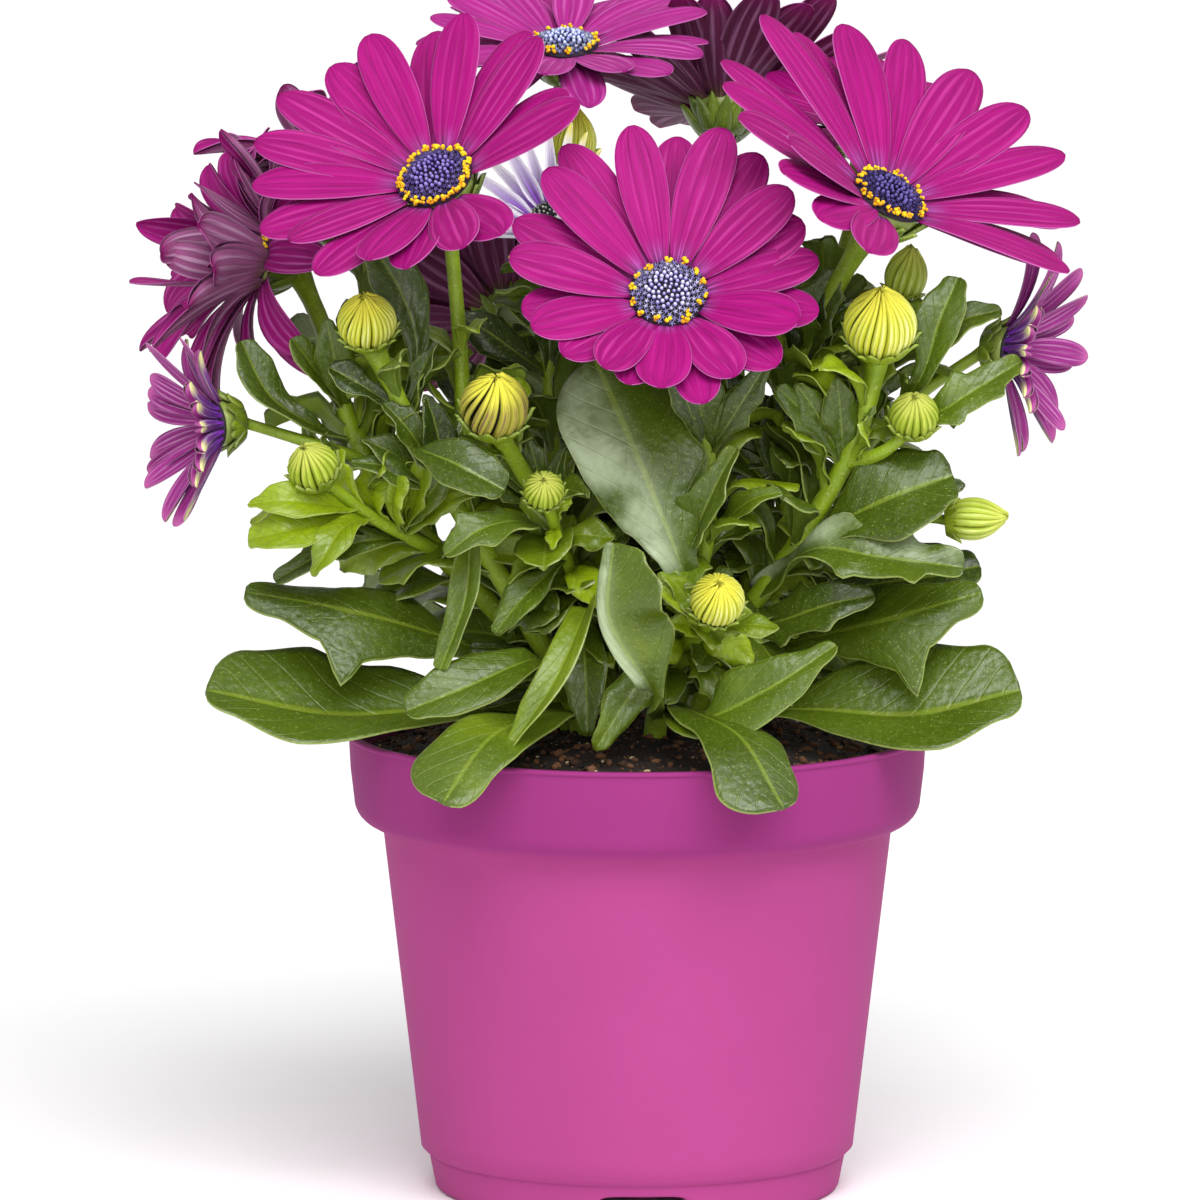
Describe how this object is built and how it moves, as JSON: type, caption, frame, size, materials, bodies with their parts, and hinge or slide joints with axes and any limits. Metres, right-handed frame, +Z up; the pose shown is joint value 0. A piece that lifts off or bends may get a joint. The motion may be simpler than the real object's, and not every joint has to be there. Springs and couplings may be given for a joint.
{
  "type": "potted osteospermum",
  "caption": "Flowering osteospermum with magenta daisy heads, buds and toothed leaves, growing in a round plastic pot of soil.",
  "frame": {"origin": "centre of the pot's base, on the surface that it stands on", "axes": "+Z up along the pot's axis, -Y towards the side that the plant is seen from, +X to its right"},
  "size_m": [0.1855, 0.1607, 0.2508],
  "materials": {
    "pot": "moulded polypropylene with a soft satin sheen",
    "soil": "damp dark potting compost with light specks",
    "stem": "smooth green stem with fine hairs",
    "leaf": "fleshy waxy leaf with a paler toothed edge",
    "petal": "velvety magenta petal with fine lengthwise grooves",
    "disc": "packed violet-blue florets with yellow pollen, over a green cup",
    "bud": "closed yellow-green bud with rolled petals"
  },
  "bodies": {
    "root": {"bud_high_middle": "bud", "bud_high_right": "bud", "bud_left": "bud", "bud_low_front": "bud", "bud_low_right": "bud", "bud_middle": "bud", "bud_right": "bud", "bud_small_middle": "bud", "bud_upper_left": "bud", "bud_upper_right": "bud", "flower_front_head": "disc", "flower_front_petals": "petal", "flower_half_open_head": "disc", "flower_half_open_petals": "petal", "flower_left_back_head": "disc", "flower_left_back_petals": "petal", "flower_left_head": "disc", "flower_left_petals": "petal", "flower_low_left_head": "disc", "flower_low_left_petals": "petal", "flower_low_right_head": "disc", "flower_low_right_petals": "petal", "flower_rear_head": "disc", "flower_rear_petals": "petal", "flower_right_back_head": "disc", "flower_right_back_petals": "petal", "flower_top_back_head": "disc", "flower_top_back_petals": "petal", "flower_top_head": "disc", "flower_top_petals": "petal", "flower_upper_left_head": "disc", "flower_upper_left_petals": "petal", "flower_upper_right_head": "disc", "flower_upper_right_petals": "petal", "leaf_big_middle": "leaf", "leaf_centre": "leaf", "leaf_front_left": "leaf", "leaf_front_right": "leaf", "leaf_high_left": "leaf", "leaf_low_left": "leaf", "leaf_low_right": "leaf", "leaf_mid_left": "leaf", "leaf_mid_right": "leaf", "leaf_rear_high": "leaf", "leaf_rear_left": "leaf", "leaf_rear_middle": "leaf", "leaf_rear_right": "leaf", "leaf_rim_left": "leaf", "leaf_rim_right": "leaf", "leaf_wide_right": "leaf", "pot": "pot", "soil": "soil", "stem_back": "stem", "stem_front": "stem", "stem_left": "stem", "stem_left_middle": "stem", "stem_middle": "stem", "stem_rear": "stem", "stem_right": "stem", "stem_right_middle": "stem"}
  },
  "joints": []
}
